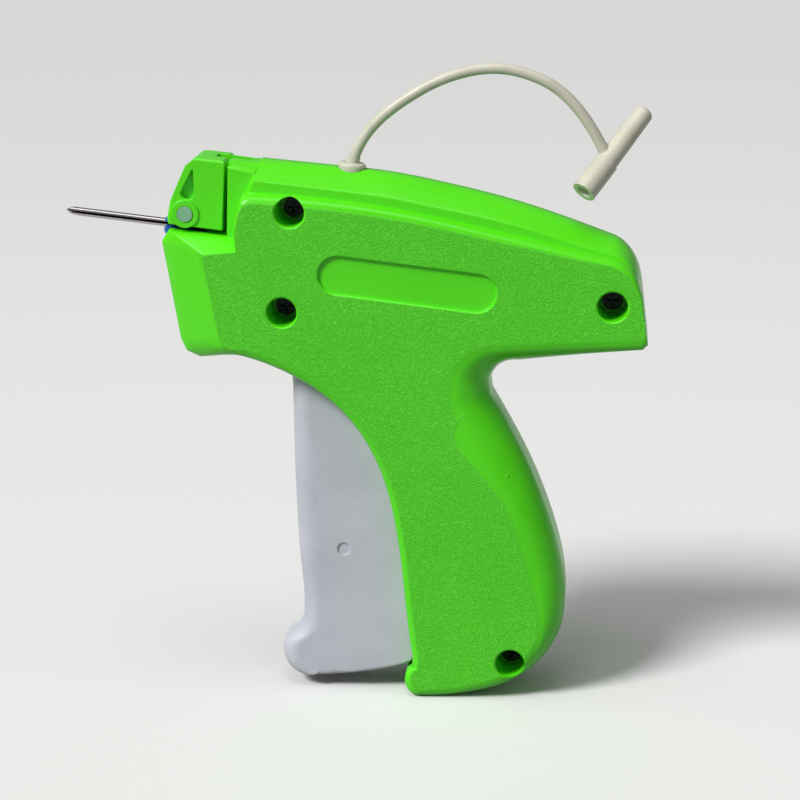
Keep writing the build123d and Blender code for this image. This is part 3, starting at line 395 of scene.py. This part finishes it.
# coil springs, which on the real tool shorten onto their seat as the trigger is squeezed; each is listed with
# that joint and the share of its height it keeps, though nothing here reads either, and the springs are
# copied unshortened
springSquash = {"trigger_spring": ("trigger_squeeze", 0.59), "pawl_spring": ("pawl_slide", 0.68)}


def slotOf(nodeName):
    for part in frame["record"]["subparts"]:
        if part["node"] == nodeName:
            return part["material_slot"]


def bodyOf(nodeName):
    for body, members in frame["record"]["behaviour"]["bodies"].items():
        if nodeName in members:
            return body


def mouldedCopy(nodeName):
    # welded copy of a node whose rounded faces shade as one surface
    piece = bpy.data.objects.new(nodeName + "_skin", frame["nodes"][nodeName].data.copy())
    bpy.context.scene.collection.objects.link(piece)
    mesh = bmesh.new()
    mesh.from_mesh(piece.data)
    bmesh.ops.remove_doubles(mesh, verts=mesh.verts, dist=copySettings["weld"])
    bmesh.ops.dissolve_limit(mesh, angle_limit=copySettings["flat"], verts=mesh.verts, edges=mesh.edges)
    for face in mesh.faces:
        face.smooth = True
    for edge in mesh.edges:
        edge.smooth = len(edge.link_faces) == 2 and edge.calc_face_angle(0.0) < copySettings["smooth"]
    mesh.to_mesh(piece.data)
    mesh.free()
    weigh = piece.modifiers.new("weigh", "WEIGHTED_NORMAL")
    weigh.keep_sharp = True
    weigh.weight = copySettings["faceWeight"]
    piece.data.materials.clear()
    piece.data.materials.append(finishes[slotOf(nodeName)])
    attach(piece, bodyOf(nodeName))
    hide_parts(nodeName)
    return piece


for name in mouldedPieces:
    mouldedCopy(name)
print("moulded copies made")

for name, (joint, keep) in springSquash.items():
    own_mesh(mouldedCopy(name))
print("springs made")

# every other node keeps its mesh and gets its finish
for name, node in frame["nodes"].items():
    node.data.materials.clear()
    node.data.materials.append(ownFinishes.get(name, finishes[slotOf(name)]))
print("nodes finished")


# the tether cord, from the plug's nub to the cap's branch
cordShape = {
    "diameter": 2.7 * mm, "length": 76.1 * mm, "stepsPerPoint": 24, "cornerSteps": 8,
    "route": [(-0.135, 0, 134.637), (1.575, 0, 139.335), (9.1, 0, 146.9), (22.7, 0, 154.9), (37.6, 0, 157.1),
              (53.3, 0, 149.9), (59.616, 0, 138.042)],
}


def tetherCord():
    curve = bpy.data.curves.new("tetherLine", "CURVE")
    curve.dimensions = "3D"
    curve.resolution_u = cordShape["stepsPerPoint"]
    curve.bevel_depth = cordShape["diameter"] / 2
    curve.bevel_resolution = cordShape["cornerSteps"]
    curve.use_fill_caps = True
    spline = curve.splines.new("NURBS")
    spline.points.add(len(cordShape["route"]) - 1)
    for point, place in zip(spline.points, cordShape["route"]):
        point.co = tuple(c * mm for c in place) + (1.0,)
    spline.order_u = 3
    spline.use_endpoint_u = True
    cord = bpy.data.objects.new("tetherLine", curve)
    bpy.context.scene.collection.objects.link(cord)
    curve.materials.append(finishes["tether_plastic"])
    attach(cord, "tether")
    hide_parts("tether_cord")


tetherCord()
print("tether made")


# floor and light: a pale floor that throws little green back, a soft sun and a soft box overhead
studio = {"paleFloor": (0.8, 0.8, 0.79, 1.0), "quietFloor": (0.22, 0.22, 0.22, 1.0), "floorHalf": 6.0,
          "floorRoughness": 0.9, "sky": 0.22, "mirroredSky": 0.26,
          "sun": 3.0, "sunSpread": math.radians(18), "sunFrom": (-0.55, -0.5, 0.67),
          "box": 2.3, "boxSize": 0.5, "boxPlace": (0.0, -0.22, 1.05)}


def seenDirectly(finish):
    # 1 for rays that show a surface as it is: straight, mirrored or through glass
    path = finish.node("ShaderNodeLightPath").outputs
    seen = finish.wire(path["Is Camera Ray"]) + finish.wire(path["Is Glossy Ray"])
    return seen + finish.wire(path["Is Transmission Ray"])


def layFloor():
    finish = Finish("floor", Roughness=studio["floorRoughness"])
    finish.set("Base Color", finish.blend(seenDirectly(finish), studio["quietFloor"], studio["paleFloor"]))
    mesh = bmesh.new()
    bmesh.ops.create_grid(mesh, x_segments=1, y_segments=1, size=studio["floorHalf"])
    data = bpy.data.meshes.new("floor")
    mesh.to_mesh(data)
    mesh.free()
    floor = bpy.data.objects.new("floor", data)
    data.materials.append(finish.material)
    bpy.context.scene.collection.objects.link(floor)


def lightSky():
    world = bpy.data.worlds.new("studio")
    bpy.context.scene.world = world
    world.use_nodes = True
    tree = world.node_tree
    shade = tree.nodes["Background"]
    shade.inputs["Color"].default_value = (1.0, 1.0, 1.0, 1.0)
    mirrored = Wire(tree, tree.nodes.new("ShaderNodeLightPath").outputs["Is Glossy Ray"])
    strength = studio["sky"] + mirrored * (studio["mirroredSky"] - studio["sky"])
    tree.links.new(strength.socket, shade.inputs["Strength"])


def hangLamp(name, kind, energy, shinesFrom, place=(0.0, 0.0, 0.0)):
    light = bpy.data.lights.new(name, kind)
    light.energy = energy
    lamp = bpy.data.objects.new(name, light)
    bpy.context.scene.collection.objects.link(lamp)
    lamp.location = place
    lamp.rotation_mode = "QUATERNION"
    lamp.rotation_quaternion = (-Vector(shinesFrom)).to_track_quat("-Z", "Y")
    return light


layFloor()
lightSky()
hangLamp("softSun", "SUN", studio["sun"], studio["sunFrom"]).angle = studio["sunSpread"]
hangLamp("softBox", "AREA", studio["box"], studio["boxPlace"], studio["boxPlace"]).size = studio["boxSize"]
bpy.context.scene.view_settings.view_transform = "Standard"
print("studio set")
